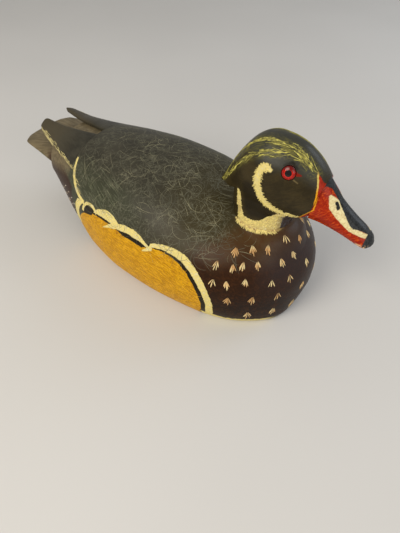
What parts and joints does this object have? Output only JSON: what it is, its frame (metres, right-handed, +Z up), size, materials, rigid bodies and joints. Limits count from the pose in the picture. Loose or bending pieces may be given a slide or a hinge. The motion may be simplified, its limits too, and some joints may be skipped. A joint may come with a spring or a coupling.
{
  "type": "floating duck decoy",
  "caption": "Hollow wooden working duck decoy, a painted drake with a swivelling head, glass eyes, lead ballast and an anchor-line ring in its flat bottom.",
  "frame": {"origin": "centre of the bounding box in plan, on the plane that the flat bottom rests on", "axes": "+X towards the bill, +Y towards the bird's left, +Z up"},
  "size_m": [0.3704, 0.154, 0.1621],
  "materials": {
    "brass": "satin",
    "lead": "dull",
    "bill_paint": "satin paint",
    "birch": "bare",
    "body_paint": "satin paint",
    "sealed_pine": "satin sealer",
    "red_iris": "painted",
    "eye_glass": "polished",
    "head_paint": "satin paint",
    "zinc_steel": "zinc plated",
    "leather": "matte",
    "tail_paint": "satin paint",
    "wing_paint": "satin paint"
  },
  "bodies": {
    "body": {"ballast_screw_1": "brass", "ballast_screw_2": "brass", "ballast_weight": "lead", "board_dowel_front": "birch", "board_dowel_rear": "birch", "board_screw_1_left": "brass", "board_screw_1_right": "brass", "board_screw_2_left": "brass", "board_screw_2_right": "brass", "board_screw_3_left": "brass", "board_screw_3_right": "brass", "body_upper": "body_paint", "bottom_board": "sealed_pine", "line_tie_staple": "brass", "neck_friction_washer": "leather", "neck_plate_washer": "zinc_steel", "tail": "tail_paint", "tail_dowel_left": "birch", "tail_dowel_right": "birch", "wing_pin_left": "birch", "wing_pin_right": "birch", "wing_tip_left": "wing_paint", "wing_tip_right": "wing_paint"},
    "head": {"bill": "bill_paint", "bill_dowel": "birch", "eye_iris_left": "red_iris", "eye_iris_right": "red_iris", "eye_lens_left": "eye_glass", "eye_lens_right": "eye_glass", "head": "head_paint", "neck_bolt": "zinc_steel", "neck_nut": "zinc_steel", "neck_spring_washer": "zinc_steel"},
    "line_ring": {"line_tie_ring": "brass"}
  },
  "joints": [
    {"name": "head_swivel", "type": "hinge", "parent": "body", "child": "head", "pos_m": [0.0955, 0, 0.09], "axis": [0, 0, 1], "range_deg": [-75, 75]},
    {"name": "line_ring_swing", "type": "hinge", "parent": "body", "child": "line_ring", "pos_m": [0.121, 0, 0.0036], "axis": [0, -1, 0], "range_deg": [0, 130]}
  ]
}
